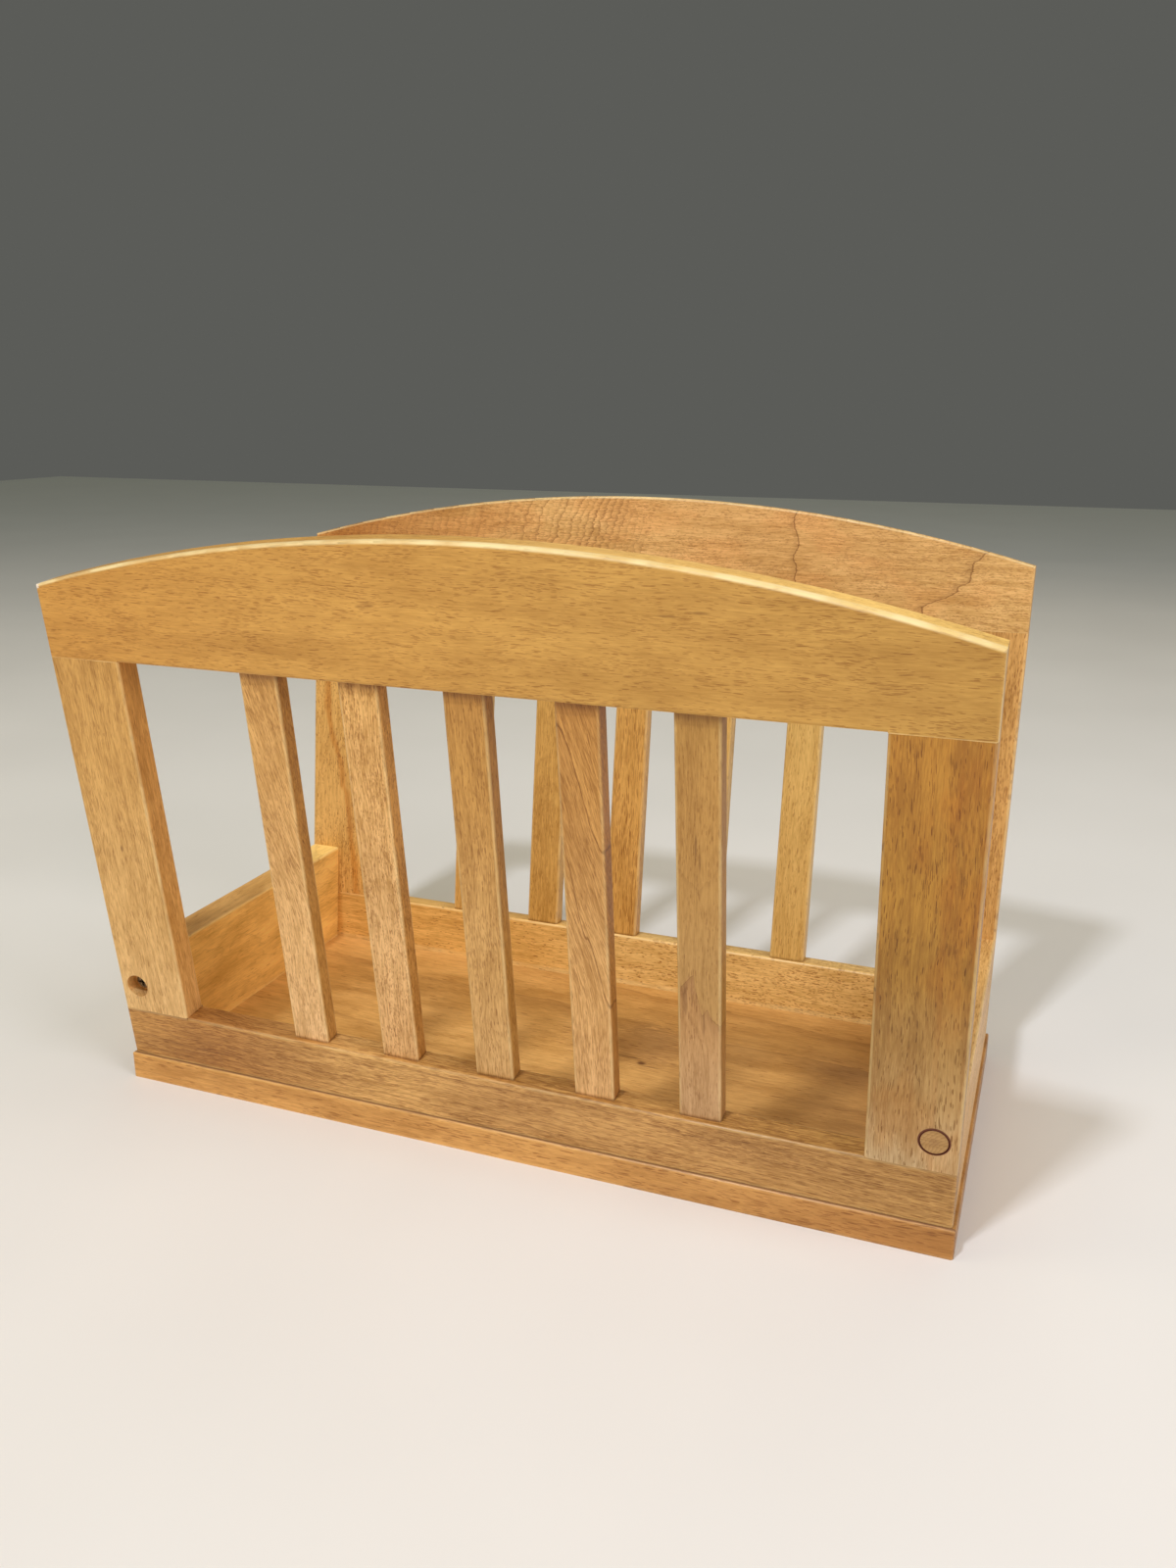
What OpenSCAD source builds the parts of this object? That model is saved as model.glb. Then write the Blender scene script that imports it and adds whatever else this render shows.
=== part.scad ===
// Wooden magazine rack: two slatted side frames that lean outward from a flat
// base board, tied at their feet by two low end boards.
// Millimetres. +X runs along the rack, +Y to its back and +Z up. The origin is
// the middle of the base board's underside.

/* [Side frames] */
// Length of each side frame, from left to right
frame_len = 406; // [360:1:460]
// Height of a side frame at its ends, measured along its slope
frame_h = 244.5; // [200:0.5:300]
// Rise of the arched top above the frame's ends
arch_rise = 27; // [15:1:40]
// Thickness of the rails and stiles
frame_t = 12.7; // [11:0.1:18]
// Outward lean of each side frame, in degrees
splay = 7.05; // [3:0.05:12]
// Distance between the frames' outer faces where they meet the base board
foot_depth = 177.6; // [160:0.1:220]
// Height of the top rail at its ends
top_rail_h = 33; // [24:0.5:50]
// Height of the bottom rail
bottom_rail_h = 27; // [24:0.5:36]
// Width of the upright stiles
stile_w = 37; // [34:0.5:50]

/* [Slats] */
// Number of slats in each side frame
slat_count = 5; // [3:1:5]
// Width of a slat
slat_w = 18.5; // [12:0.5:26]
// Thickness of a slat
slat_t = 8.6; // [6:0.1:9]
// Distance from one slat's middle to the next
slat_pitch = 48.1; // [30:0.1:52]
// How far the slats lie behind the frame's outer face
slat_setback = 3.1; // [1:0.1:4]
// Depth to which a slat's ends are let into the rails
slat_tongue = 6; // [3:0.5:8]

/* [Base board and end boards] */
// Thickness of the base board
base_t = 13.7; // [12:0.1:20]
// How far the base board stands out past the frames on every side
base_lip = 1.5; // [0.5:0.1:8]
// Thickness of the end boards
end_t = 18; // [16:0.5:22]
// Height of the end boards
end_h = 56; // [52:1:90]

/* [Edges] */
// Radius of the eased edges on rails, stiles and boards
edge_r = 1.5; // [0.5:0.1:2.5]
// Radius of the eased edges on the slats
slat_edge_r = 1; // [0.5:0.1:2]

/* [Screws, plugs and dowels] */
// Diameter of the counterbores and of the wood plugs that close them
plug_d = 12; // [11:0.1:12.5]
// Depth of the counterbores
counterbore_h = 6.5; // [5:0.1:7]
// Distance of the counterbores from the frame's end
plug_inset = 10; // [9:0.5:11]
// Height of the counterbores above the frame's foot, along its slope
plug_rise = 41; // [38:0.5:44]
// Length of the screws through the frames
frame_screw_l = 38; // [25:1:45]
// Length of the screws up through the base board
base_screw_l = 32; // [28:1:34]
// Diameter of the dowels between rails and stiles
dowel_d = 6; // [5:0.5:7]
// Length of the dowels
dowel_l = 30; // [20:1:32]

/* [Hidden] */
$fn = 48;
arch_fn = 360;
bite = 1;                       // overrun of a cutting tool past the face it enters
fit_gap = 0.05;                 // clearance round a screw or a plug

half_len = frame_len / 2;
foot_y = foot_depth / 2;
inner_foot_y = foot_y - frame_t / cos(splay);
opening_half = half_len - stile_w;
stile_top = frame_h - top_rail_h;
arch_r = (half_len * half_len + arch_rise * arch_rise) / (2 * arch_rise);
arch_centre_z = frame_h + arch_rise - arch_r;
slat_l = stile_top - bottom_rail_h + 2 * slat_tongue;

screw_r = 2;                    // shank of every screw
screw_tip = 5;                  // length of a screw's point
pan_head_r = 4;
pan_head_h = 2.6;
flat_head_r = 4;
flat_head_h = 2.2;
flat_head_sink = 0.3;           // how far a base screw's head lies inside the wood
recess_len = 4.4;               // arms of the cross recess in a screw head
recess_w = 0.9;
recess_h = 1.3;
plug_sink = 0.15;               // how far a plug's face lies below the stile's face
plug_edge = 0.45;               // chamfer round a plug's face
plug_h = counterbore_h - pan_head_h - plug_sink - 0.2;
dowel_spread = 5;               // a joint's two dowels, either side of their middle
dowel_from_inner = 10.5;        // middle of a joint's dowels, from the stile's inner edge
dowel_spare = 1;                // extra depth of each dowel hole
rail_screw_x = 130;             // base screws into the bottom rails
rail_screw_y = foot_y - 5.3;
end_screw_y = 36;               // base screws into the end boards
end_screw_x = half_len - end_t / 2;

honey = "#c9965a";
golden = "#d0a05c";
pale = "#d9ae6c";
tan_wood = "#b98a55";
reddish = "#c08248";
birch = "#dcc08c";
steel = "#a9a7a0";

front = 1;
back = -1;
left = -1;
right = 1;

// ---- placing ----

// Stands a side frame's own axes (X along it, Y into the rack, Z up its slope)
// on the base board, at the front or mirrored to the back.
module on_side(side) {
    if (side == front) lean() children();
    else mirror([0, 1, 0]) lean() children();
}

module lean() {
    translate([0, -foot_y, base_t]) rotate([splay, 0, 0]) children();
}

// Extrudes a profile drawn in (Y, Z) along X, centred on the rack's middle.
module along_x(l) {
    translate([-l / 2, 0, 0]) rotate([90, 0, 90]) linear_extrude(l) children();
}

// Extrudes an outline drawn in (X, Z) from the face y = 0 into +Y.
module along_y(l) {
    translate([0, l, 0]) rotate([90, 0, 0]) linear_extrude(l) children();
}

// ---- eased edges ----

// What is cut off the corner at the origin of a shape that fills +X and +Y.
module corner_tool(r) {
    difference() {
        translate([-bite, -bite]) square(r + bite);
        translate([r, r]) circle(r);
    }
}

// A rectangle from the origin with all four corners eased.
module eased_rectangle(w, h, r) {
    difference() {
        square([w, h]);
        corner_tool(r);
        translate([w, 0]) mirror([1, 0]) corner_tool(r);
        translate([0, h]) mirror([0, 1]) corner_tool(r);
        translate([w, h]) rotate(180) corner_tool(r);
    }
}

// Tools for the four edges along X of a bar whose section runs from the origin
// to (w, h) in (Y, Z); low and high say which pair is cut.
module long_edge_tools(l, w, h, low, high) {
    along_x(l) {
        if (low) {
            corner_tool(edge_r);
            translate([w, 0]) mirror([1, 0]) corner_tool(edge_r);
        }
        if (high) {
            translate([0, h]) mirror([0, 1]) corner_tool(edge_r);
            translate([w, h]) rotate(180) corner_tool(edge_r);
        }
    }
}

// Tools for the four upright edges of a bar that runs from -l/2 to l/2 in X
// and from 0 to w in Y.
module upright_edge_tools(l, w, low_z, high_z) {
    translate([-l / 2, 0, low_z]) linear_extrude(high_z - low_z) {
        corner_tool(edge_r);
        translate([l, 0]) mirror([1, 0]) corner_tool(edge_r);
        translate([0, w]) mirror([0, 1]) corner_tool(edge_r);
        translate([l, w]) rotate(180) corner_tool(edge_r);
    }
}

// ---- fasteners and their holes ----

// A wood screw from the origin along +Z: its head lies below z = 0 when it is a
// pan head, and above when it is a flat head.
module wood_screw(l, pan) {
    difference() {
        rotate_extrude() polygon(pan ? pan_screw_profile(l) : flat_screw_profile(l));
        translate([0, 0, pan ? -pan_head_h : 0]) {
            for (turn = [0, 90]) {
                rotate(turn) translate([-recess_len / 2, -recess_w / 2, -bite])
                    cube([recess_len, recess_w, recess_h + bite]);
            }
        }
    }
}

function pan_screw_profile(l) = [
    [0, -pan_head_h], [pan_head_r - 1.2, -pan_head_h], [pan_head_r - 0.3, -pan_head_h + 0.7],
    [pan_head_r, -pan_head_h + 1.5], [pan_head_r, 0], [screw_r, 0],
    [screw_r, l - screw_tip], [0, l]
];

function flat_screw_profile(l) = [
    [0, 0], [flat_head_r, 0], [screw_r, flat_head_h], [screw_r, l - screw_tip], [0, l]
];

// The bare hole for a screw's shank.
module shank_hole(l) {
    cylinder(r = screw_r + fit_gap, h = l);
}

// Moves to the mouth of a frame's counterbore at one end, its +Z into the wood.
module at_counterbore(end) {
    translate([end * (half_len - plug_inset), 0, plug_rise]) rotate([-90, 0, 0]) children();
}

// The counterbore and the screw's way behind it.
module frame_screw_hole(end) {
    at_counterbore(end) {
        translate([0, 0, -bite]) cylinder(d = plug_d, h = counterbore_h + bite);
        shank_hole(counterbore_h + frame_screw_l);
    }
}

module frame_screw(side, end) {
    color(steel) on_side(side) at_counterbore(end)
        translate([0, 0, counterbore_h]) wood_screw(frame_screw_l, true);
}

// A wood plug glued flush over a screw head, with a fine chamfer round its face.
module plug(side, end) {
    color(honey) on_side(side) at_counterbore(end) translate([0, 0, plug_sink]) {
        cylinder(r1 = plug_d / 2 - plug_edge, r2 = plug_d / 2 - fit_gap, h = plug_edge);
        translate([0, 0, plug_edge]) cylinder(r = plug_d / 2 - fit_gap, h = plug_h - plug_edge);
    }
}

// Every place where a screw goes up through the base board.
module at_base_screws() {
    for (x = [-1, 1], y = [-1, 1]) {
        translate([x * rail_screw_x, y * rail_screw_y, 0]) children();
        translate([x * end_screw_x, y * end_screw_y, 0]) children();
    }
}

module base_screw_holes() {
    at_base_screws() {
        translate([0, 0, -bite]) cylinder(r = flat_head_r + fit_gap, h = flat_head_sink + bite);
        translate([0, 0, flat_head_sink])
            cylinder(r1 = flat_head_r + fit_gap, r2 = screw_r + fit_gap, h = flat_head_h);
        shank_hole(flat_head_sink + base_screw_l);
    }
}

module base_screws() {
    color(steel) at_base_screws() translate([0, 0, flat_head_sink]) wood_screw(base_screw_l, false);
}

// Places on one frame where a dowel's middle lies: two to each joint.
module at_dowels() {
    for (end = [left, right], z = [bottom_rail_h, stile_top], step = [-1, 1]) {
        translate([end * (opening_half + dowel_from_inner + step * dowel_spread), frame_t / 2, z])
            children();
    }
}

module dowel_holes() {
    at_dowels() cylinder(d = dowel_d, h = dowel_l + 2 * dowel_spare, center = true);
}

module frame_dowels(side) {
    color(birch) on_side(side) at_dowels() cylinder(d = dowel_d, h = dowel_l, center = true);
}

// ---- side frames ----

function slat_x(number) = (number - (slat_count + 1) / 2) * slat_pitch;

// One slat's section run up from its lower end.
module slat_bar(number) {
    translate([slat_x(number) - slat_w / 2, slat_setback, bottom_rail_h - slat_tongue])
        linear_extrude(slat_l) eased_rectangle(slat_w, slat_t, slat_edge_r);
}

module slat(side, number) {
    color(number % 2 == 0 ? golden : honey) on_side(side) slat_bar(number);
}

module slat_mortises() {
    for (number = [1 : slat_count]) slat_bar(number);
}

// The bottom rail, its foot cut level to stand on the base board.
module bottom_rail(side) {
    color(tan_wood) difference() {
        on_side(side) difference() {
            along_x(frame_len) polygon([
                [0, 0], [frame_t, -frame_t * tan(splay)], [frame_t, bottom_rail_h], [0, bottom_rail_h]
            ]);
            long_edge_tools(2 * opening_half, frame_t, bottom_rail_h, false, true);
            upright_edge_tools(frame_len, frame_t, -frame_t, bottom_rail_h + bite);
            slat_mortises();
            dowel_holes();
        }
        base_screw_holes();
    }
}

module top_rail_outline() {
    intersection() {
        translate([-half_len, stile_top]) square([frame_len, top_rail_h + arch_rise]);
        translate([0, arch_centre_z]) circle(arch_r, $fn = arch_fn);
    }
}

// Eases the arch's edge on the face y = 0.
module arch_edge_tool() {
    translate([0, 0, arch_centre_z]) rotate([-90, 0, 0]) rotate_extrude($fn = arch_fn)
        translate([arch_r, 0]) mirror([1, 0]) corner_tool(edge_r);
}

module top_rail(side) {
    color(golden) on_side(side) difference() {
        along_y(frame_t) top_rail_outline();
        arch_edge_tool();
        translate([0, frame_t, 0]) mirror([0, 1, 0]) arch_edge_tool();
        translate([0, 0, stile_top]) long_edge_tools(2 * opening_half, frame_t, top_rail_h, true, false);
        upright_edge_tools(frame_len, frame_t, stile_top - bite, frame_h + arch_rise);
        slat_mortises();
        dowel_holes();
    }
}

module stile(side, end) {
    color(end == left ? pale : honey) on_side(side) difference() {
        translate([end == left ? -half_len : opening_half, 0, bottom_rail_h])
            linear_extrude(stile_top - bottom_rail_h) eased_rectangle(stile_w, frame_t, edge_r);
        frame_screw_hole(end);
        dowel_holes();
    }
}

// ---- boards ----

// An end board: its two ends are cut to the frames' slope.
module end_board(end) {
    top_y = inner_foot_y + end_h * tan(splay);
    color(reddish) difference() {
        translate([end * end_screw_x, 0, base_t]) {
            difference() {
                along_x(end_t) polygon([
                    [-inner_foot_y, 0], [inner_foot_y, 0], [top_y, end_h], [-top_y, end_h]
                ]);
                for (turn = [0, 180]) {
                    rotate(turn) translate([-end_t / 2, -foot_y, end_h]) rotate([-90, 0, 0])
                        linear_extrude(foot_depth) corner_tool(edge_r);
                }
            }
        }
        for (side = [front, back]) on_side(side) frame_screw_hole(end);
        base_screw_holes();
    }
}

module base_board() {
    base_len = frame_len + 2 * base_lip;
    base_depth = foot_depth + 2 * base_lip;
    color(reddish) difference() {
        translate([0, -base_depth / 2, 0]) along_x(base_len) square([base_depth, base_t]);
        translate([0, -base_depth / 2, 0]) long_edge_tools(base_len, base_depth, base_t, false, true);
        translate([0, -base_depth / 2, 0]) upright_edge_tools(base_len, base_depth, -bite, base_t + bite);
        for (turn = [0, 180]) {
            rotate(turn) translate([-base_len / 2, -base_depth / 2, base_t]) rotate([-90, 0, 0])
                linear_extrude(base_depth) corner_tool(edge_r);
        }
        base_screw_holes();
    }
}

// ---- nodes ----

base_board();
end_board(left);  // left_end_board
end_board(right);  // right_end_board
bottom_rail(front);  // front_bottom_rail
top_rail(front);  // front_top_rail
stile(front, left);  // front_left_stile
stile(front, right);  // front_right_stile
bottom_rail(back);  // back_bottom_rail
top_rail(back);  // back_top_rail
stile(back, left);  // back_left_stile
stile(back, right);  // back_right_stile
for (number = [1 : slat_count]) {
    slat(front, number);
    slat(back, number);
}
frame_dowels(front);  // front_frame_dowels
frame_dowels(back);  // back_frame_dowels
plug(front, right);  // front_right_plug
plug(back, left);  // back_left_plug
plug(back, right);  // back_right_plug
frame_screw(front, left);  // front_left_screw
frame_screw(front, right);  // front_right_screw
frame_screw(back, left);  // back_left_screw
frame_screw(back, right);  // back_right_screw
base_screws();
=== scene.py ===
"""Magazine rack: wood and steel looks, floor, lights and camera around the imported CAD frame."""
import math

import bmesh
import bpy
from mathutils import Matrix, Vector


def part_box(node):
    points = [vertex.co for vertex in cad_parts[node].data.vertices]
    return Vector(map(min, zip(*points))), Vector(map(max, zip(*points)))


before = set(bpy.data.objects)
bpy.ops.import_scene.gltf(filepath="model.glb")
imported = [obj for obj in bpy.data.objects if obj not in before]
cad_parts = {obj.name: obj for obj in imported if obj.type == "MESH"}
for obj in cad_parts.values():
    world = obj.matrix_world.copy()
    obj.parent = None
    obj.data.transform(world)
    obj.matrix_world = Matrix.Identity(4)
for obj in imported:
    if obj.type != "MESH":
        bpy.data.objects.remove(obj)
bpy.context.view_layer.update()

MM = 0.001
SPLAY = math.radians(7.05)            # outward lean of both side frames
PLUG_RADIUS = 6.0                     # mm
EDGE = 1.5                            # mm, radius of a board's arrises
NARROWER_PALE_EDGE = 0.9                       # mm by which the pale arrises, part wear and part painted highlight, are narrower on some edges
ARCH_RISE = 27.0                      # mm, over the length of a top rail
LET_IN = 6.0                          # mm of a slat's end inside each rail

CAMERA_PLACE = Vector((0.2206, -0.5529, 0.3348))
CAMERA_YAW = math.radians(20.78)      # turned left of +Y
CAMERA_PITCH = math.radians(16.86)    # looking down
CAMERA_ROLL = math.radians(0.2)
CAMERA_SENSOR = 36                    # mm, long side
CAMERA_LENS = 29.18                   # mm

# Tints, which multiply the wood's own colour
VESSEL_BROWN = (0.42, 0.25, 0.10)
RING_BROWN = (0.42, 0.30, 0.17)
# brown of dark spots in the wood, also used as painted shade on the slats and a painted shadow on the
# base board
MARK_AND_SHADE_BROWN = (0.28, 0.17, 0.09)
END_GRAIN = (0.74, 0.64, 0.54)

# Colours
# dark of joint lines, also painted shade over the base board's lip
SEAM_AND_SHADE_DARK = (0.16, 0.08, 0.04)
WORN_AND_HIGHLIGHT_PALE = (0.90, 0.74, 0.36)           # pale bare wood on rubbed edges, also a painted highlight along arrises
# pale wood of a chipped corner, also a painted glint
CHIP_AND_GLINT_PALE = (0.86, 0.78, 0.64)
PLUG_LIGHT = (0.50, 0.30, 0.10)
PLUG_DARK = (0.41, 0.23, 0.065)
PLUG_HEART = (0.26, 0.12, 0.035)
PLUG_RIM = (0.12, 0.026, 0.006)
STEEL_BRIGHT = (0.30, 0.22, 0.13)
STEEL_TARNISH = (0.09, 0.055, 0.03)
FLOOR_COLORS = ((0.77, 0.765, 0.71), (0.82, 0.815, 0.76))
WORLD_LIGHT = (0.155, 0.16, 0.135, 1)
BACKDROP = (0.105, 0.107, 0.098, 1)


class Tree:
    """A material's node tree, with short calls for the nodes that the looks are built from."""

    def __init__(self, name):
        """A new material with Blender's usual shader."""
        self.material = bpy.data.materials.new(name)
        self.material.use_nodes = True
        self.nodes = self.material.node_tree.nodes
        self.links = self.material.node_tree.links
        self.shader = self.nodes["Principled BSDF"]

    def put(self, socket, value):
        """Links a node's output to the socket, or sets a plain value there."""
        if isinstance(value, bpy.types.NodeSocket):
            self.links.new(value, socket)
        else:
            socket.default_value = value

    def finish(self, **inputs):
        """Sets the shader's own sockets; an underscore in a name stands for a space."""
        for key, value in inputs.items():
            self.put(self.shader.inputs[key.replace("_", " ")], value)
        return self.material

    def node(self, kind, inputs, **settings):
        """A new node with its inputs linked or set, and its own settings."""
        made = self.nodes.new(kind)
        for key, value in settings.items():
            setattr(made, key, value)
        for key, value in inputs.items():
            self.put(made.inputs[key], value)
        return made

    def math(self, operation, a, b=0.0, c=0.0):
        return self.node("ShaderNodeMath", {0: a, 1: b, 2: c}, operation=operation).outputs[0]

    def product(self, *values):
        """All the values multiplied together."""
        total = values[0]
        for value in values[1:]:
            total = self.math("MULTIPLY", total, value)
        return total

    def total(self, *values):
        """All the values added together."""
        total = values[0]
        for value in values[1:]:
            total = self.math("ADD", total, value)
        return total

    def vector(self, operation, a, b=(0, 0, 0)):
        made = self.node("ShaderNodeVectorMath", {0: a, 1: b}, operation=operation)
        return made.outputs["Value" if operation in ("LENGTH", "DOT_PRODUCT") else "Vector"]

    def split(self, vector):
        return self.node("ShaderNodeSeparateXYZ", {0: vector}).outputs

    def join(self, x, y, z):
        return self.node("ShaderNodeCombineXYZ", {0: x, 1: y, 2: z}).outputs[0]

    def noise(self, place, size, detail=2.0, roughness=0.5):
        """Soft noise about 0.5 whose grains are size = (x, y, z) long."""
        inputs = {"Vector": self.vector("DIVIDE", place, size), "Scale": 1.0, "Detail": detail,
                  "Roughness": roughness}
        return self.node("ShaderNodeTexNoise", inputs).outputs

    def step(self, value, start, end, low=0.0, high=1.0):
        """Smooth step of value from low at start to high at end."""
        inputs = {0: value, 1: start, 2: end, 3: low, 4: high}
        return self.node("ShaderNodeMapRange", inputs, interpolation_type="SMOOTHSTEP").outputs[0]

    def mix(self, factor, a, b, blend="MIX"):
        """Colour a where factor is 0 and b where it is 1."""
        a = a if isinstance(a, bpy.types.NodeSocket) else (*a, 1.0)
        b = b if isinstance(b, bpy.types.NodeSocket) else (*b, 1.0)
        made = self.node("ShaderNodeMix", {0: factor, 6: a, 7: b}, data_type="RGBA", blend_type=blend)
        return made.outputs[2]

    def tint(self, factor, color, by):
        """The colour, multiplied by another where factor is 1."""
        return self.mix(factor, color, by, blend="MULTIPLY")

    def swing(self, value, amount):
        """Turns a 0 to 1 noise into a swing of amount about zero."""
        return self.math("MULTIPLY_ADD", value, 2.0 * amount, -amount)

    def ramp(self, value, stops):
        """Colour or grey at each (place from 0 to 1, colour) stop, eased between them."""
        made = self.node("ShaderNodeValToRGB", {0: value})
        made.color_ramp.interpolation = "EASE"
        points = made.color_ramp.elements
        points.remove(points[1])
        for index, (position, color) in enumerate(stops):
            point = points.new(position) if index else points[0]
            point.position = position
            point.color = (*color, 1.0) if isinstance(color, tuple) else (color, color, color, 1.0)
        return made.outputs[0]


class Board:
    """A board's middle, lean, the order of its axes as (along the grain, across the face,
    through the board), and half its size in mm along each of them."""

    def __init__(self, name):
        low, high = (Vector(corner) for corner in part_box(name))
        self.name = name
        self.middle = (low + high) / 2
        self.lean = {"front": SPLAY, "back": -SPLAY}.get(name.split("_")[0], 0.0)
        wide, deep, tall = (high - low) / MM
        cosine, sine, double = math.cos(self.lean), math.sin(abs(self.lean)), math.cos(2 * self.lean)
        size = (wide, (deep * cosine - tall * sine) / double, (tall * cosine - deep * sine) / double)
        if name == "base_board":
            self.axes = "xyz"
        elif name.endswith("end_board"):
            self.axes = "yzx"
        elif name.endswith("rail") or name.endswith("plug"):
            self.axes = "xzy"
        else:
            self.axes = "zxy"
        self.half = [size["xyz".index(axis)] / 2 for axis in self.axes]

    def reorder(self, t, vector):
        """A vector's parts in the order of the board's axes."""
        parts = t.split(vector)
        return t.join(*(parts["xyz".index(axis)] for axis in self.axes))

    def place(self, t):
        """Place in the board in mm from its middle, in the board's own axes."""
        inputs = {"Vector": t.node("ShaderNodeTexCoord", {}).outputs["Object"], "Location": self.middle,
                  "Rotation": (self.lean, 0, 0), "Scale": (MM, MM if self.lean >= 0 else -MM, MM)}
        return self.reorder(t, t.node("ShaderNodeMapping", inputs, vector_type="TEXTURE").outputs[0])

    def normal(self, t):
        """Size of the surface normal's share along each of the board's own axes."""
        inputs = {"Vector": t.node("ShaderNodeTexCoord", {}).outputs["Normal"],
                  "Rotation": (self.lean, 0, 0)}
        turned = t.node("ShaderNodeMapping", inputs, vector_type="TEXTURE").outputs[0]
        return self.reorder(t, t.vector("ABSOLUTE", turned))


def dashes(t, grain, length, width, fill, seed):
    """Vessel marks: one slim ellipse with soft ragged ends in some of the stretched cells. They run
    on over an arris from a board's face to its edge."""
    u, v, w = t.split(grain.fibre)[:3]
    cells = t.join(t.math("MULTIPLY_ADD", u, 0.7 / length, seed * 3.7),
                   t.math("MULTIPLY_ADD", t.math("ADD", v, w), 0.7 / width, seed * 1.9), 0.0)
    cell = t.node("ShaderNodeTexVoronoi", {"Vector": cells, "Scale": 1.0, "Randomness": 1.0},
                  voronoi_dimensions="2D").outputs
    chance = t.split(cell["Color"])
    reach = t.math("MULTIPLY_ADD", chance[0], 0.24, 0.20)
    away = t.math("ADD", cell["Distance"], t.swing(grain.hair, 0.25))
    body = t.step(away, reach, t.math("MULTIPLY", reach, 0.65))
    strength = t.math("MULTIPLY_ADD", t.product(chance[2], chance[2]), 0.55, 0.45)
    return t.product(body, t.math("LESS_THAN", chance[1], fill), strength)


def growth_lines(t, place, teeth, seed, slope, strength, ripple=1.0, grain=(60, 14), sharp=6.0,
                 ragged=0.0):
    """Growth lines: the levels of a tilted and rippled sheet that passes through the board."""
    apart = t.vector("ADD", place, (seed * 17.0, seed * 29.0, 0))
    bumps = t.noise(apart, (*grain, grain[1]), detail=3.0)[0]
    sheet = t.math("ADD", t.vector("DOT_PRODUCT", place, slope), t.swing(bumps, ripple))
    sheet = t.math("ADD", sheet, t.swing(teeth, ragged))
    chance = t.node("ShaderNodeTexWhiteNoise", {"W": t.math("FLOOR", sheet)}, noise_dimensions="1D")
    line = t.math("POWER", t.math("FRACT", sheet), sharp)
    return t.product(line, t.math("MULTIPLY_ADD", chance.outputs["Value"], 0.7, 0.3), strength)


def line_gap(t, grain, path, ragged, axis=0):
    """How far a place lies past a line through the (u, v) points of path, in mm: measured along the
    grain for a line that crosses the board (axis 0), across it for one that runs along (axis 1)."""
    spots = sorted((point[1 - axis], point[axis]) for point in path)
    first, last = spots[0][0], spots[-1][0]
    lowest = min(offset for _, offset in spots)
    span = max(offset for _, offset in spots) - lowest
    stops = [((spot - first) / (last - first), (offset - lowest) / span) for spot, offset in spots]
    parts = t.split(grain.place)
    position = t.math("DIVIDE", t.math("SUBTRACT", parts[1 - axis], first), last - first)
    line = t.math("MULTIPLY_ADD", t.ramp(position, stops), span, lowest)
    return t.total(parts[axis], t.math("MULTIPLY", line, -1.0), t.swing(grain.teeth, ragged))


def vein(t, gap, width=0.6, tail=4.0, line=0.8, shade=0.3):
    """A thin dark line where gap is zero, and a soft shade over tail mm on its lower side."""
    core = t.product(t.step(t.math("ABSOLUTE", gap), width, width * 0.2), line)
    soft = t.product(t.step(gap, width, 0.0), t.step(gap, -tail, 0.0), shade)
    return t.math("MAXIMUM", core, soft)


class Grain:
    """The coordinates and noises that all of one board's layers share."""

    def __init__(self, t, board, look):
        self.seed = look["seed"]
        self.place = board.place(t)
        self.inside = t.vector("ADD", self.place, (self.seed * 137.0, self.seed * 71.0, self.seed * 53.0))
        self.along = t.math("MULTIPLY_ADD", t.split(self.place)[0], 0.5 / board.half[0], 0.5)

        # The fibres drift slowly from side to side, and may run off the board's own line
        drift = t.vector("SUBTRACT", t.noise(self.inside, (80, 30, 30))["Color"], (0.5, 0.5, 0.5))
        drift = t.vector("MULTIPLY", drift, (0, 7.0, 7.0))
        shift = self.shift(t, look)
        self.fibre = t.vector("ADD", t.vector("ADD", self.inside, drift), shift)
        self.sheets = t.vector("ADD", self.place, shift)

        self.streak = t.noise(self.fibre, (60, 2.4, 2.4), detail=3.0, roughness=0.55)[0]
        self.hair = t.noise(self.fibre, (7, 0.6, 0.6), detail=3.0, roughness=0.6)[0]
        self.teeth = t.noise(self.inside, (14, 2.8, 2.8), detail=3.0, roughness=0.6)[0]

    def shift(self, t, look):
        """Sideways run-off of the fibres past a place on the board."""
        if "turn" not in look:
            return t.join(0.0, 0.0, 0.0)
        start, slope = look["turn"]
        past = t.math("SMOOTH_MAX", t.math("SUBTRACT", t.split(self.place)[0], start), 0.0, 25.0)
        return t.join(0.0, t.math("MULTIPLY", past, slope), 0.0)


def across_face(t, grain, u, v):
    """Distance in mm from a line that runs through the board at (u, v)."""
    offset = t.vector("SUBTRACT", grain.place, (u, v, 0))
    return t.vector("LENGTH", t.vector("MULTIPLY", offset, (1, 1, 0)))


def base_tone(t, grain, look):
    """Light and dark wood mixed by broad bands, clouds, streaks and short fibres."""
    band = t.noise(grain.fibre, (130, 14, 14))[0]
    cloud = t.noise(grain.inside, (26, 12, 12))[0]
    broad, fine = look.get("contrast", (1.0, 1.0))
    tone = t.total(t.swing(band, 0.55 * broad), t.swing(cloud, 0.5 * broad),
                   t.swing(grain.streak, 0.65 * fine), t.swing(grain.hair, 1.3 * fine), 0.5)
    color = t.mix(tone, look["dark"], look["light"])
    if "along" in look:
        color = t.tint(1.0, color, t.ramp(grain.along, look["along"]))
    if "patch" in look:
        tint, amount, size = look["patch"]
        spread = t.noise(grain.inside, (size, size / 2.4, size / 2.4), detail=3.0)[0]
        color = t.tint(t.product(t.step(spread, 0.48, 0.62), amount), color, tint)
    return color


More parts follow.
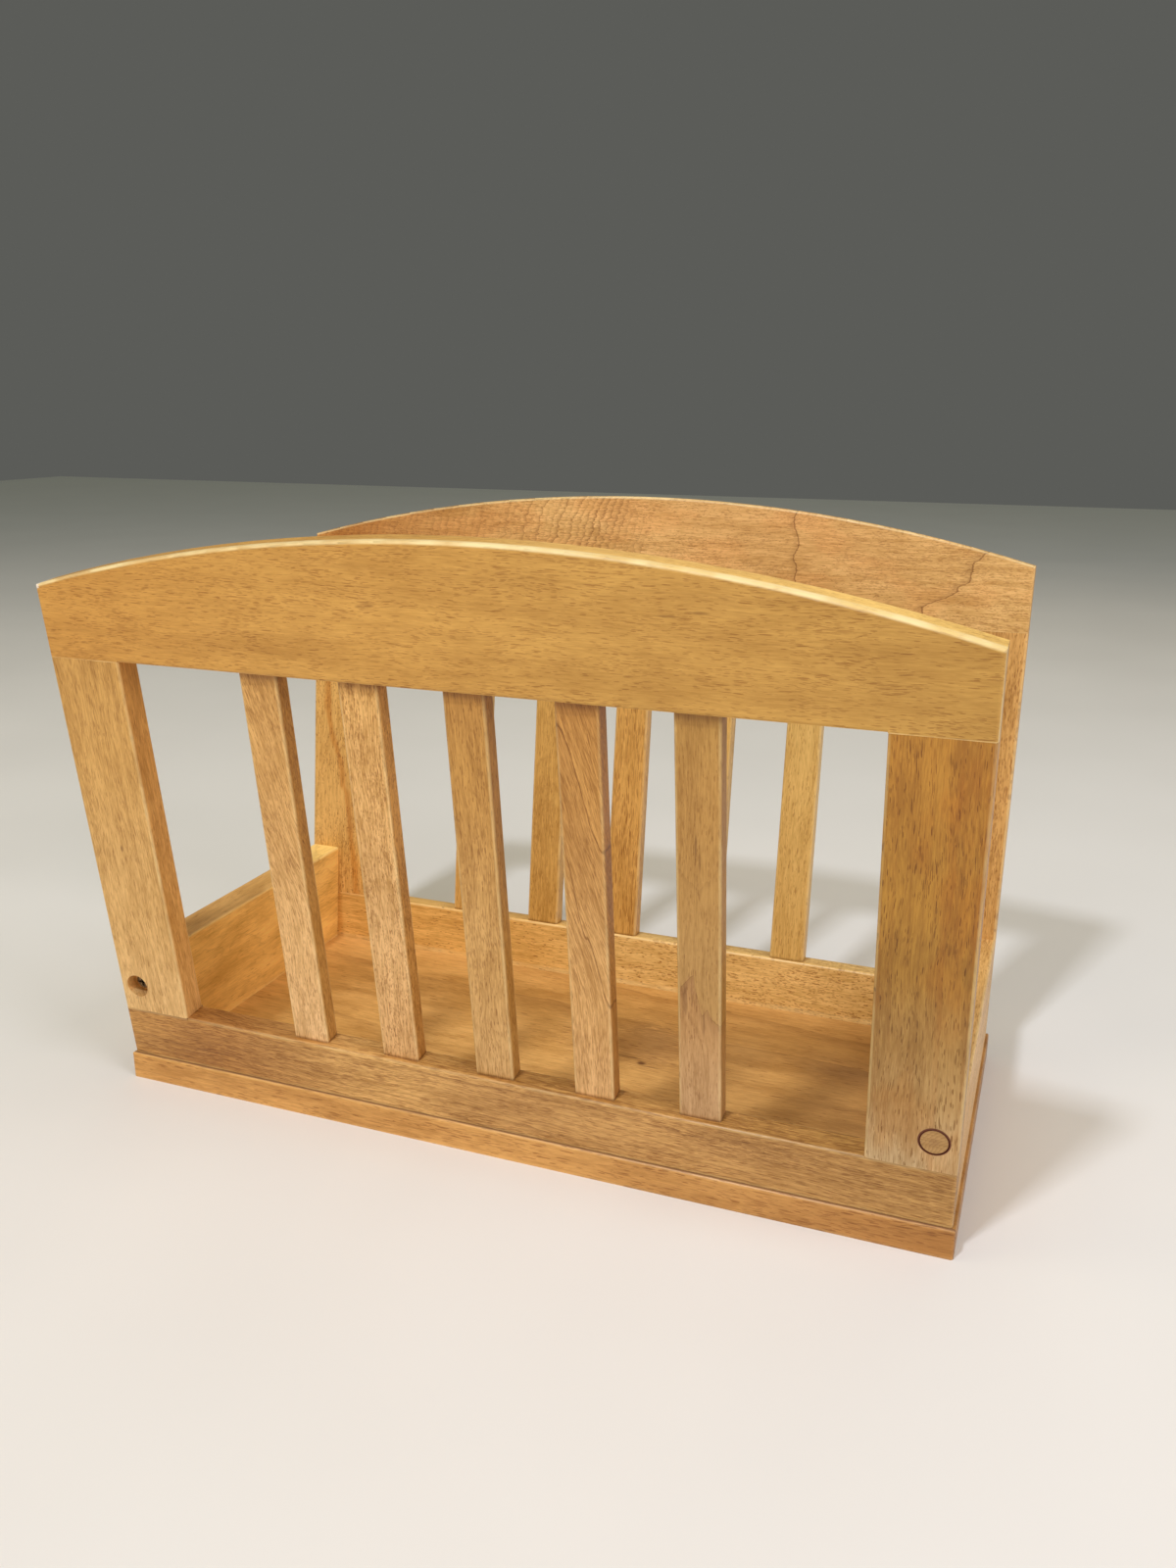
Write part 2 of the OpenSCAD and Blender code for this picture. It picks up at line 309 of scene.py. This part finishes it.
def add_growth(t, grain, look, color):
    """Growth lines, single veins, and the change of tone below one of them."""
    broken = t.step(grain.streak, 0.35, 0.55, 0.5, 1.0)
    if "figure" in look:
        settings = dict(look["figure"])
        where = settings.pop("where", None)
        lines = t.product(growth_lines(t, grain.sheets, grain.teeth, grain.seed, **settings), broken)
        if where:
            lines = t.math("MULTIPLY", lines, t.ramp(grain.along, where))
        color = t.tint(lines, color, look.get("ring_tint", RING_BROWN))
    if "below" in look:
        tint, path, ragged, frayed = look["below"]
        gap = t.math("ADD", line_gap(t, grain, path, ragged), t.swing(grain.hair, frayed))
        color = t.tint(t.step(gap, 1.0, -1.0), color, tint)
    for path, ragged, line in look.get("veins", ()):
        gap = line_gap(t, grain, path, ragged)
        color = t.tint(vein(t, gap, **line), color, look.get("ring_tint", RING_BROWN))
    for path, width, tint in look.get("bands", ()):
        gap = t.math("ABSOLUTE", line_gap(t, grain, path, width, axis=1))
        color = t.tint(t.step(gap, width, 0.2 * width), color, tint)
    if "swirl" in look:
        u, v, size, strength = look["swirl"]
        offset = t.vector("SUBTRACT", grain.place, (u, v, 0))
        away = t.vector("LENGTH", t.vector("MULTIPLY", offset, (0.4, 1, 0)))
        rings = t.math("FRACT", t.math("ADD", t.math("DIVIDE", away, 2.1), t.swing(grain.teeth, 3.0)))
        color = t.tint(t.product(rings, t.step(away, size, 0.3 * size), strength), color, RING_BROWN)
    return color


def add_marks(t, grain, look, color):
    """Vessel marks, gathered in loose drifts, and single dark spots. Returns the marks too."""
    amount, length, width, depth = look["marks"]
    crowd = t.noise(grain.inside, (34, 9, 9))[0]
    fill = t.step(crowd, 0.40, 0.62, 0.3 * amount, amount)
    if "marks_where" in look:
        fill = t.math("MULTIPLY", fill, t.ramp(grain.along, look["marks_where"]))
    if "calm_inside" in look:
        rim, calm = look["calm_inside"]
        across = t.math("ABSOLUTE", t.split(grain.place)[1])
        fill = t.math("MULTIPLY", fill, t.step(across, rim - 1, rim, calm, 1.0))
    marks = t.math("MAXIMUM", dashes(t, grain, length, width, fill, grain.seed),
                   dashes(t, grain, length * 0.55, width * 0.8, fill, grain.seed + 5))
    color = t.tint(t.product(marks, depth), color, look.get("mark_tint", VESSEL_BROWN))
    # Dark spots in the wood; on the base board the big soft one is a painted shadow of the top rail
    for u, v, long, wide, dark in look.get("spots", ()):
        offset = t.vector("DIVIDE", t.vector("SUBTRACT", grain.place, (u, v, 0)), (long, wide, 1000))
        away = t.math("ADD", t.vector("LENGTH", offset), t.swing(grain.hair, 0.5))
        color = t.tint(t.step(away, 1.0, 0.3, 0.0, dark), color, MARK_AND_SHADE_BROWN)
    return color, marks


def arch_depth(t, grain, board):
    """Depth in mm below a top rail's arched edge, and the unit vector straight out of the arch."""
    radius = (board.half[0] ** 2 + ARCH_RISE ** 2) / (2 * ARCH_RISE)
    centre = (0, board.half[1] - radius, 0)
    spoke = t.vector("MULTIPLY", t.vector("SUBTRACT", grain.place, centre), (1, 1, 0))
    return t.math("SUBTRACT", radius, t.vector("LENGTH", spoke)), t.vector("NORMALIZE", spoke)


def arris(t, grain, board, pale_band):
    """1 on the board's rounded arrises, falling to 0 where its flat faces begin, or pale_band mm from
    the outer face: the mask of pale arrises, part wear and part painted highlight. Narrower at a
    board's ends and under a top rail; none at the ends of slats."""
    parts = [t.math("ABSOLUTE", part) for part in t.split(grain.place)[:3]]
    to_end, to_edge, to_face = (t.math("SUBTRACT", half, part) for half, part in zip(board.half, parts))
    to_end = t.math("ADD", to_end, NARROWER_PALE_EDGE)
    if board.name.endswith("top_rail"):
        below = t.math("ADD", board.half[1] + NARROWER_PALE_EDGE, t.split(grain.place)[1])
        to_edge = t.math("MINIMUM", arch_depth(t, grain, board)[0], below)
    nearest = to_edge if board.axes == "zxy" else t.math("MINIMUM", to_end, to_edge)
    to_outer = t.math("ADD", board.half[2], t.split(grain.place)[2])
    rounded = t.math("MAXIMUM", t.step(to_face, EDGE, 0.4 * EDGE), t.step(to_outer, pale_band, 0.5 * pale_band))
    return t.product(t.step(nearest, EDGE, 0.4 * EDGE), rounded)


def add_edges(t, grain, board, look, color):
    """Darker end grain; tints of a board's top edge, sides and outer face, where the sides get painted
    shade, the front top rail's top a painted highlight and the front bottom rail's top painted shade; and
    pale arrises, part wear and part painted highlight.
    """
    facing = t.split(board.normal(t))
    on_end = t.product(t.step(facing[0], 0.8, 0.97), 0.55)
    color = t.tint(on_end, color, END_GRAIN)
    # crown: painted highlight on the front top rail's arched top, painted shade on the front bottom
    # rail's top; side: painted shade on the narrow sides
    if "crown" in look:
        color = t.tint(t.step(facing[1], 0.6, 0.9), color, t.ramp(grain.along, look["crown"]))
    if "side" in look:
        color = t.tint(t.step(facing[1], 0.6, 0.9), color, look["side"])
    if "outer" in look:
        outside = t.math("LESS_THAN", t.split(grain.place)[2], 0.0)
        color = t.tint(t.product(t.step(facing[2], 0.6, 0.9), outside), color, look["outer"])
    # Pale arrises in patches: part rubbed wear, part painted highlight
    pale_edge_patches = t.noise(grain.inside, (24, 24, 24), detail=3.0)[0]
    pale_band = arris(t, grain, board, look.get("pale_band", EDGE))
    edge = t.product(pale_band, t.step(pale_edge_patches, 0.38, 0.6, 0.45, 1.0))
    return t.mix(t.product(edge, look.get("wear_and_highlight", 0.3)), color, WORN_AND_HIGHLIGHT_PALE)


def arch_normal(t, grain, board):
    """The true normal of a top rail's curved edge and its arrises, in place of the facets' own."""
    depth, spoke = arch_depth(t, grain, board)
    through = t.split(grain.place)[2]
    to_face = t.math("SUBTRACT", board.half[2], t.math("ABSOLUTE", through))
    up = t.math("MAXIMUM", t.math("SUBTRACT", EDGE, depth), 0.0)
    out = t.math("MAXIMUM", t.math("SUBTRACT", EDGE, to_face), 0.0)
    side = t.product(out, t.math("SIGN", through), 1.0 if board.lean >= 0 else -1.0)
    own = t.vector("ADD", t.vector("MULTIPLY", spoke, t.join(up, up, up)), t.join(0.0, 0.0, side))
    x, z, y = t.split(own)[:3]
    lean = {"Vector": t.join(x, y, z), "Rotation": (board.lean, 0, 0)}
    smooth = t.node("ShaderNodeMapping", lean, vector_type="NORMAL").outputs[0]
    plain = t.node("ShaderNodeNewGeometry", {}).outputs["Normal"]
    off_end = t.math("LESS_THAN", t.split(board.normal(t))[0], 0.5)
    curved = t.product(t.math("GREATER_THAN", up, 0.0), off_end)
    return t.mix(curved, plain, smooth)


def add_joints(t, grain, board, look, color):
    """Dark joint lines, with painted shade over the base board's lip; the rim round a plug; a pale
    chipped corner that is also a painted glint; and painted shade on a slat under the top rail and at its
    foot.
    """
    if "slat" in board.name:
        shown = board.half[0] - LET_IN
        up = t.split(grain.place)[0]
        # Painted shade: a dark joint line with contact shade at the slat's foot, and a darker band under
        # the top rail, which overhangs the set-back slat
        color = t.tint(t.step(up, 1.6 - shown, 0.2 - shown, 0.0, 0.6), color, MARK_AND_SHADE_BROWN)
        color = t.tint(t.step(up, shown - 4.5, shown - 1.0, 0.0, 0.55), color, MARK_AND_SHADE_BROWN)
    # Dark joint lines; the base board's is wide enough to cover its lip's lit top as painted shade
    for axis, position, half in look.get("seams", ()):
        away = t.math("ABSOLUTE", t.math("SUBTRACT", t.split(grain.place)[axis], position))
        color = t.mix(t.step(away, half, half * 0.4, 0.0, 0.75), color, SEAM_AND_SHADE_DARK)
    if "plug_at" in look:
        away = across_face(t, grain, *look["plug_at"])
        color = t.mix(t.step(away, PLUG_RADIUS + 0.75, PLUG_RADIUS + 0.3, 0.0, 1.0), color, PLUG_RIM)
    # A pale chipped corner, also a painted glint
    if "chip_and_glint" in look:
        u, v, size = look["chip_and_glint"]
        away = t.math("ADD", across_face(t, grain, u, v), t.swing(grain.hair, 2.5))
        color = t.mix(t.step(away, size, size * 0.6), color, CHIP_AND_GLINT_PALE)
    return color


def wood(board, look):
    """A board's own piece of wood under a thin satin lacquer."""
    t = Tree(board.name + "_wood")
    grain = Grain(t, board, look)
    color = base_tone(t, grain, look)
    color = add_growth(t, grain, look, color)
    color, marks = add_marks(t, grain, look, color)
    color = add_edges(t, grain, board, look, color)
    color = add_joints(t, grain, board, look, color)

    shine = t.math("ADD", t.swing(grain.streak, 0.12), 0.42)
    shine = t.math("MULTIPLY_ADD", marks, 0.15, shine)
    height = t.total(t.swing(grain.hair, 0.25), t.swing(grain.streak, 0.25), t.product(marks, -0.6))
    relief = {"Strength": 0.4, "Distance": 0.12 * MM, "Height": height}
    if board.name.endswith("top_rail"):
        relief["Normal"] = arch_normal(t, grain, board)
    bump = t.node("ShaderNodeBump", relief)
    return t.finish(Base_Color=color, Roughness=shine, Specular_IOR_Level=0.35, Coat_Weight=0.15,
                    Coat_Roughness=0.24, Normal=bump.outputs[0])


def shades(red, green, blue, spread=0.36):
    """A light and a dark tone on either side of a board's mean colour."""
    light = (red * (1 + spread * 0.75), green * (1 + spread), blue * (1 + spread * 1.4))
    dark = (red * (1 - spread * 0.8), green * (1 - spread), blue * (1 - spread * 1.5))
    return {"light": light, "dark": dark}


# Changes of colour along a slat or stile, from 0 at its foot to 1 under the top rail. FADE and DARK_FADE
# # darken and warm the upper part as painted shade below the top rail; FLAT_FADE is darker at the foot.
FADE = [(0.0, (1.02, 1.06, 1.2)), (0.35, (0.98, 0.98, 0.97)), (0.8, (0.88, 0.82, 0.65)),
        (1.0, (0.83, 0.75, 0.54))]
DARK_FADE = [(0.0, (1.02, 1.06, 1.2)), (0.35, (0.98, 0.98, 0.95)), (0.8, (0.85, 0.76, 0.52)),
             (1.0, (0.78, 0.66, 0.41))]
FLAT_FADE = [(0.0, (0.86, 0.79, 0.71)), (0.35, (0.94, 0.90, 0.84)), (0.8, (1.0, 0.94, 0.77)),
             (1.0, (0.96, 0.88, 0.63))]
# painted shade on a slat's narrow sides
SLAT_SIDE_SHADE = (0.85, 0.73, 0.54)
FORKED_LINE = [(-43, -9.3), (-27, -7.5), (-22, -2.5), (-31, -1), (-40, 1.3), (-37, 3.5), (-41, 5),
               (-44, 9.3)]

# What each board's wood looks like. Lengths are in mm, and a place (u, v) is measured from the
# board's middle, along the grain and across the face.
#   marks (amount, length, width, depth), marks_where and calm_inside (rim, amount within): vessels
#   contrast (broad, fine), along, patch (tint, amount, size): how the board's own tone changes
#   figure, ring_tint, veins, bands, below, swirl, turn: growth lines and where the fibres lead
#   spots (u, v, length, width, darkness), seams (axis, place, half width), plug_at, chip_and_glint:
#   details; a few spots and seams are painted shade, and the chip is also a painted glint
#   crown and side: tints of the board's edges, where side is painted shade and crown is a painted
#       highlight on the front top rail and painted shade on the front bottom rail; outer: of its outer
#       face; wear_and_highlight, pale_band: pale arrises, part rubbed wear and part painted highlight
LOOKS = {
    "front_top_rail": {
        "seed": 1, **shades(0.625, 0.335, 0.073, 0.24), "marks": (0.55, 5.0, 0.5, 0.6),
        "contrast": (0.95, 0.55),
        "along": [(0.0, (1, 0.94, 0.82)), (0.35, (1, 1, 0.97)), (0.7, (0.93, 0.96, 0.95)),
                  (1.0, (0.86, 0.90, 0.86))],
        "figure": dict(slope=(0.004, 0.09, 0.1), strength=0.2, ripple=1.0, grain=(90, 12)),
        "spots": [(-38, 3.5, 6, 3, 0.25), (98, 9, 5, 0.8, 0.5), (86, 7, 6, 0.8, 0.4)],
        # The pale band along the front of the arched top is painted highlight as well as wear, and the
        # chip at the left end is also a painted glint
        "chip_and_glint": (-203, 3, 2.2), "wear_and_highlight": 0.95, "pale_band": 4.5,
        # crown: the arched top gets brighter towards the right end, a painted highlight
        "crown": [(0.0, (0.90, 0.90, 0.85)), (0.45, (0.98, 0.98, 0.92)), (0.75, (1.3, 1.4, 1.45)),
                  (1.0, (1.5, 1.7, 1.95))]},
    "back_top_rail": {
        "seed": 2, **shades(0.66, 0.385, 0.130, 0.30), "marks": (0.8, 2.4, 0.6, 0.5), "wear_and_highlight": 0.6,
        "contrast": (0.9, 0.8), "patch": ((1.0, 0.90, 0.84), 0.6, 40), "ring_tint": (0.36, 0.25, 0.16),
        "along": [(0.0, (0.85, 0.68, 0.48)), (0.04, (0.70, 0.50, 0.29)), (0.14, (0.83, 0.68, 0.52)),
                  (0.25, (0.98, 0.91, 0.82)), (0.38, (1.15, 1.18, 1.2)), (0.5, (1.1, 1.1, 1.1)),
                  (0.7, (0.99, 0.96, 0.92)), (1.0, (1.03, 1.06, 1.05))],
        "figure": dict(slope=(0.25, -0.08, 0.13), strength=1.0, ripple=0.9, grain=(60, 12), sharp=2.2,
                       ragged=0.8,
                       where=[(0.0, 0.5), (0.2, 0.4), (0.33, 0.7), (0.42, 1.0), (0.49, 1.0), (0.52, 0.1),
                              (0.85, 0.0)]),
        "veins": [([(85, -15), (86, -3), (84, 1), (86, 9), (83, 20), (84, 25)], 1.6, dict(shade=0.25)),
                  ([(151, -21), (167, -11), (173, -5), (174, 3), (177, 5), (181, 10)], 2.2,
                   dict(shade=0.3, tail=6.0, width=0.8))]},
    "front_left_stile": {"seed": 3, **shades(0.70, 0.42, 0.140, 0.28), "marks": (0.5, 5.0, 0.7, 0.45),
                         "along": FADE, "side": (0.98, 0.84, 0.70), "wear_and_highlight": 0.45,
                         "spots": [(-1, -0.3, 2.5, 1.0, 0.6)]},
    "front_right_stile": {
        "seed": 4, **shades(0.39, 0.197, 0.031, 0.26), "marks": (0.32, 5.5, 0.5, 0.95),
        "plug_at": (-78, 8.5), "mark_tint": (0.42, 0.30, 0.12), "contrast": (1.4, 1.0),
        "patch": ((1.0, 0.82, 0.56), 0.6, 60), "ring_tint": (0.70, 0.48, 0.28),
        "figure": dict(slope=(0.002, 0.20, 0.1), strength=0.5, ripple=0.9, grain=(110, 9), sharp=1.6,
                       ragged=0.25),
        "along": [(0.0, (1.42, 1.98, 6.4)), (0.2, (1.11, 1.32, 2.75)), (0.33, (0.98, 1.08, 1.7)),
                  (0.5, (0.97, 0.98, 0.84)), (0.65, (1.07, 1.04, 0.80)), (1.0, (1.19, 1.10, 0.86))]},
    "front_slat_1": {"seed": 5, **shades(0.75, 0.455, 0.178, 0.30), "marks": (0.75, 4.0, 0.65, 0.55),
                     "along": FADE, "turn": (-20, 0.22), "side": (0.74, 0.60, 0.35)},
    "front_slat_2": {"seed": 6, **shades(0.74, 0.46, 0.190, 0.34), "marks": (1.0, 2.8, 0.75, 0.62),
                     "contrast": (1.0, 1.15), "along": FLAT_FADE, "side": (0.80, 0.64, 0.38)},
    "front_slat_3": {"seed": 7, **shades(0.595, 0.342, 0.110, 0.32), "marks": (0.6, 4.0, 0.7, 0.55),
                     "along": DARK_FADE, "side": (0.83, 0.69, 0.45)},
    "front_slat_4": {"seed": 8, **shades(0.66, 0.375, 0.130, 0.30), "marks": (0.5, 5.0, 0.55, 0.5),
                     "turn": (-40, 0.28), "along": DARK_FADE, "side": (0.74, 0.57, 0.37),
                     "contrast": (1.0, 1.15),
                     "figure": dict(slope=(0.0, 0.6, 0.3), strength=0.38, ripple=0.7, grain=(70, 8),
                                    sharp=3.0),
                     "veins": [([(83, -9.3), (29, 9.3)], 3.0, dict(width=1.4, tail=75.0, shade=0.17)),
                               ([(31, -9.3), (-12, 0), (-44, 9.3)], 2.0,
                                dict(width=1.4, tail=12.0, shade=0.1))]},
    "front_slat_5": {"seed": 9, **shades(0.485, 0.275, 0.080, 0.22), "marks": (0.35, 4.0, 0.7, 0.4),
                     "side": SLAT_SIDE_SHADE,
                     "along": [(0.0, (1.0, 1.11, 1.50)), (0.35, (0.94, 0.94, 0.95)),
                               (0.8, (0.98, 0.93, 0.77)), (1.0, (1.0, 0.98, 0.78))],
                     "veins": [(FORKED_LINE, 2.0, dict(width=0.6, tail=12.0, shade=0.3, line=0.5)),
                               ([(27, -9.3), (21, -3), (18, 0), (22, 4), (30, 9.3)], 2.0,
                                dict(shade=0.15, line=0.2))],
                     "below": ((1.08, 1.04, 1.2), FORKED_LINE, 2.0, 9.0),
                     "spots": [(37, -1, 7, 0.8, 0.5), (31, 0.6, 5, 0.7, 0.4), (-33, -6, 11, 1.6, 0.35),
                               (-30, -3, 8, 0.8, 0.3), (-44, 2, 9, 0.7, 0.3)]},
    "front_bottom_rail": {
        "seed": 10, **shades(0.51, 0.288, 0.089, 0.34), "marks": (0.9, 6.0, 0.6, 0.6),
        "along": [(0.0, (1.05, 0.94, 0.72)), (0.12, (0.87, 0.71, 0.49)), (0.35, (1.25, 1.26, 1.23)),
                  (0.52, (1.0, 0.95, 0.89)), (0.7, (1.05, 1.01, 0.96)), (1.0, (0.90, 0.87, 0.78))],
        # crown: painted shade on the rail's top between the slats
        "crown": [(0.0, (0.90, 0.82, 0.84)), (0.6, (0.95, 0.90, 0.80)), (1.0, (0.90, 0.82, 0.65))],
        "figure": dict(slope=(0.006, 0.30, 0.3), strength=0.9, ripple=1.8, grain=(70, 12), sharp=4.0),
        "swirl": (112, 6, 13, 0.5), "seams": [(1, -13.5, 0.4)], "wear_and_highlight": 0.2},
    # The base board's tones are lifted for its top, and side darkens the front face back again: painted
    # light on the top, painted shade on the front
    "base_board": {
        "seed": 11, **shades(0.64, 0.352, 0.100, 0.28), "marks": (0.7, 7.0, 0.8, 0.65),
        "calm_inside": (87, 0.15), "marks_where": [(0.0, 0.25), (0.5, 0.7), (0.8, 1.0)],
        "contrast": (1.3, 0.7),
        # along: darker towards the right end, on the top partly painted shade beside the right stile
        "along": [(0.0, (1.15, 1.13, 1.10)), (0.15, (1.03, 1.0, 0.96)), (0.5, (1.06, 1.05, 1.05)),
                  (0.72, (0.88, 0.84, 0.80)), (1.0, (0.68, 0.58, 0.47))],
        "figure": dict(slope=(0.003, 0.03, 0.28), strength=0.5, ripple=0.5, grain=(120, 16)),
        # spots: a knot with streaks, the big soft one at (36, 12) a painted shadow of the top rail, and a
        # faint darker patch at the left
        "spots": [(42.6, -7, 3.2, 2.0, 1.0), (35, -3, 10, 0.9, 0.6), (48, -9, 9, 0.8, 0.5),
                  (36, 12, 45, 28, 0.5), (-134, 0, 24, 30, 0.15)],
        # The seam is a dark joint line widened over the lip's lit top as painted shade
        "wear_and_highlight": 0.1, "side": (0.93, 0.89, 0.84), "seams": [(1, -89.0, 0.8)]},
    "back_bottom_rail": {"seed": 12, **shades(0.76, 0.455, 0.135, 0.26), "marks": (0.9, 3.2, 0.8, 0.8),
                         "along": [(0.0, (0.97, 0.93, 0.80)), (0.35, (0.98, 0.95, 0.85)),
                                   (0.55, (1.05, 1.12, 1.22)), (1.0, (0.97, 1.02, 1.1))],
                         "marks_where": [(0.0, 0.1), (0.45, 0.25), (0.65, 1.0)]},
    "left_end_board": {"seed": 13, **shades(0.93, 0.55, 0.138, 0.26), "marks": (0.15, 5.0, 0.8, 0.35),
                       "contrast": (1.5, 0.6), "wear_and_highlight": 0.2, "outer": (0.74, 0.67, 0.80),
                       "along": [(0.0, (0.90, 0.86, 0.80)), (0.5, (1, 1, 1)), (1.0, (1.0, 1.03, 1.03))],
                       "figure": dict(slope=(0.02, 0.08, 0.1), strength=0.35, ripple=1.6, grain=(30, 16)),
                       "crown": [(0.0, (0.66, 0.62, 0.80)), (0.6, (0.80, 0.76, 0.9)),
                                 (0.9, (1, 1.1, 1.3))]},
    "right_end_board": {"seed": 14, **shades(0.66, 0.38, 0.12, 0.28), "marks": (0.6, 5.0, 0.7, 0.5),
                        "figure": dict(slope=(0.01, 0.1, 0.1), strength=0.5, ripple=1.5, grain=(60, 16))},
    "back_left_stile": {"seed": 15, **shades(0.68, 0.385, 0.100, 0.26), "marks": (0.6, 2.6, 0.8, 0.65),
                        "plug_at": (-78, -8.5),
                        "bands": [([(23, -9), (-24, 2), (-33, 6), (-92, 12)], 3.0, (0.86, 0.70, 0.50))]},
    "back_right_stile": {"seed": 16, **shades(0.58, 0.31, 0.085, 0.30), "marks": (0.8, 4.0, 0.8, 0.7),
                         "plug_at": (-78, 8.5)},
    "back_slat_1": {"seed": 17, **shades(0.60, 0.34, 0.085, 0.26), "marks": (0.5, 4.0, 0.7, 0.5)},
    "back_slat_2": {"seed": 18, **shades(0.61, 0.345, 0.080, 0.26), "marks": (0.5, 4.0, 0.7, 0.5)},
    "back_slat_3": {"seed": 19, **shades(0.64, 0.345, 0.078, 0.28), "marks": (0.8, 8.0, 0.8, 0.7)},
    "back_slat_4": {"seed": 20, **shades(0.66, 0.39, 0.095, 0.26), "marks": (0.4, 4.0, 0.7, 0.5),
                    "figure": dict(slope=(0.0, 0.35, 0.2), strength=0.9, ripple=0.6, grain=(90, 9))},
    "back_slat_5": {"seed": 21, **shades(0.68, 0.43, 0.120, 0.20), "marks": (0.4, 4.0, 0.7, 0.5)},
}


def plug_wood(board):
    """A round plug cut across the grain, with bent growth lines, a dark rim and a darker heart."""
    t = Tree(board.name + "_wood")
    place = board.place(t)
    inside = t.vector("ADD", place, (31.0, 11.0, 7.0))
    streak = t.noise(inside, (9, 0.8, 0.8), detail=3.0)[0]
    away = t.vector("LENGTH", t.vector("MULTIPLY", t.vector("ADD", place, (-9, 7, 0)), (1, 1, 0)))
    bent = t.math("FRACT", t.math("ADD", t.math("DIVIDE", away, 1.3), t.swing(streak, 0.6)))
    color = t.mix(t.step(streak, 0.35, 0.65), PLUG_DARK, PLUG_LIGHT)
    color = t.tint(t.product(bent, bent, 0.45), color, RING_BROWN)
    radius = t.vector("LENGTH", t.vector("MULTIPLY", place, (1, 1, 0)))
    color = t.mix(t.step(radius, 3.0, 0.5, 0.0, 0.35), color, PLUG_HEART)
    color = t.mix(t.step(radius, PLUG_RADIUS - 0.8, PLUG_RADIUS - 0.4, 0.0, 1.0), color, PLUG_RIM)
    bump = t.node("ShaderNodeBump", {"Strength": 0.4, "Distance": 0.1 * MM, "Height": streak})
    return t.finish(Base_Color=color, Roughness=t.step(streak, 0.3, 0.7, 0.36, 0.5), Coat_Weight=0.25,
                    Coat_Roughness=0.24, Specular_IOR_Level=0.4, Normal=bump.outputs[0])


def steel(board):
    """Dull plated steel with brown tarnish."""
    t = Tree(board.name + "_steel")
    spot = t.node("ShaderNodeTexCoord", {}).outputs["Object"]
    fine = t.noise(spot, (1.1 * MM, 1.1 * MM, 1.1 * MM), detail=3.0)[0]
    color = t.mix(t.step(fine, 0.4, 0.65), STEEL_BRIGHT, STEEL_TARNISH)
    bump = t.node("ShaderNodeBump", {"Strength": 0.3, "Distance": 0.05 * MM, "Height": fine})
    return t.finish(Base_Color=color, Metallic=1.0, Roughness=t.step(fine, 0.3, 0.7, 0.3, 0.5),
                    Normal=bump.outputs[0])


def dress():
    """Gives every CAD node its own material: a board's wood, steel for screws, and the wood of
    plugs and dowels."""
    for name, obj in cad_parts.items():
        board = Board(name)
        if name in LOOKS:
            made = wood(board, LOOKS[name])
        elif "screw" in name:
            made = steel(board)
        else:
            made = plug_wood(board)
        for slot in obj.material_slots:
            slot.material = made


def area_light(name, place, size, power, color):
    """A rectangular lamp aimed at the middle of the rack; place and size in m, power in W."""
    data = bpy.data.lights.new(name, "AREA")
    data.shape = "RECTANGLE"
    data.size, data.size_y = size
    data.energy = power
    data.color = color
    lamp = bpy.data.objects.new(name, data)
    bpy.context.scene.collection.objects.link(lamp)
    aim = Vector((0, 0, 0.12)) - Vector(place)
    lamp.matrix_world = Matrix.Translation(place) @ aim.to_track_quat("-Z", "Y").to_matrix().to_4x4()
    lamp.visible_camera = False


def make_lights():
    area_light("key", (-0.355, -1.415, 2.316), (0.21, 0.21), 32, (0.82, 0.85, 0.98))
    area_light("over", (0, 0, 1.7), (1.6, 1.6), 5, (1.0, 1.0, 0.85))
    area_light("front", (0, -1.9, 0.55), (1.6, 0.9), 7.5, (1.0, 0.68, 0.45))
    area_light("left", (-1.5, -0.6, 1.5), (1.0, 1.0), 7.0, (1.0, 0.80, 0.55))
    area_light("right", (1.6, -0.45, 1.2), (1.2, 1.0), 20, (0.97, 0.90, 1.0))
    area_light("back", (0, 1.5, 1.3), (1.6, 1.0), 3, (1.0, 0.78, 0.5))


def make_world():
    """Soft dim light from all round; the camera sees it as a plain grey backdrop."""
    world = bpy.data.worlds.new("studio")
    bpy.context.scene.world = world
    world.use_nodes = True
    nodes = world.node_tree.nodes
    links = world.node_tree.links
    mix = nodes.new("ShaderNodeMix")
    mix.data_type = "RGBA"
    mix.inputs[6].default_value = WORLD_LIGHT
    mix.inputs[7].default_value = BACKDROP
    links.new(nodes.new("ShaderNodeLightPath").outputs["Is Camera Ray"], mix.inputs[0])
    links.new(mix.outputs[2], nodes["Background"].inputs["Color"])


def make_camera():
    data = bpy.data.cameras.new("camera")
    data.sensor_width = CAMERA_SENSOR
    data.lens = CAMERA_LENS
    camera = bpy.data.objects.new("camera", data)
    bpy.context.scene.collection.objects.link(camera)
    turn = Matrix.Rotation(CAMERA_YAW, 4, "Z") @ Matrix.Rotation(math.pi / 2 - CAMERA_PITCH, 4, "X")
    turn = turn @ Matrix.Rotation(CAMERA_ROLL, 4, "Z")
    camera.matrix_world = Matrix.Translation(CAMERA_PLACE) @ turn
    bpy.context.scene.camera = camera


def make_floor():
    """A plain pale floor, 8 m square."""
    mesh = bpy.data.meshes.new("floor")
    shape = bmesh.new()
    bmesh.ops.create_grid(shape, x_segments=1, y_segments=1, size=4)
    shape.to_mesh(mesh)
    shape.free()
    floor = bpy.data.objects.new("floor", mesh)
    bpy.context.scene.collection.objects.link(floor)
    t = Tree("floor")
    spot = t.node("ShaderNodeTexCoord", {}).outputs["Object"]
    soft = t.noise(spot, (0.2, 0.2, 0.2))[0]
    color = t.mix(soft, *FLOOR_COLORS)
    mesh.materials.append(t.finish(Base_Color=color, Roughness=t.step(soft, 0.3, 0.7, 0.6, 0.7)))


make_camera()
make_floor()
make_lights()
make_world()
dress()
bpy.context.scene.view_settings.view_transform = "Standard"
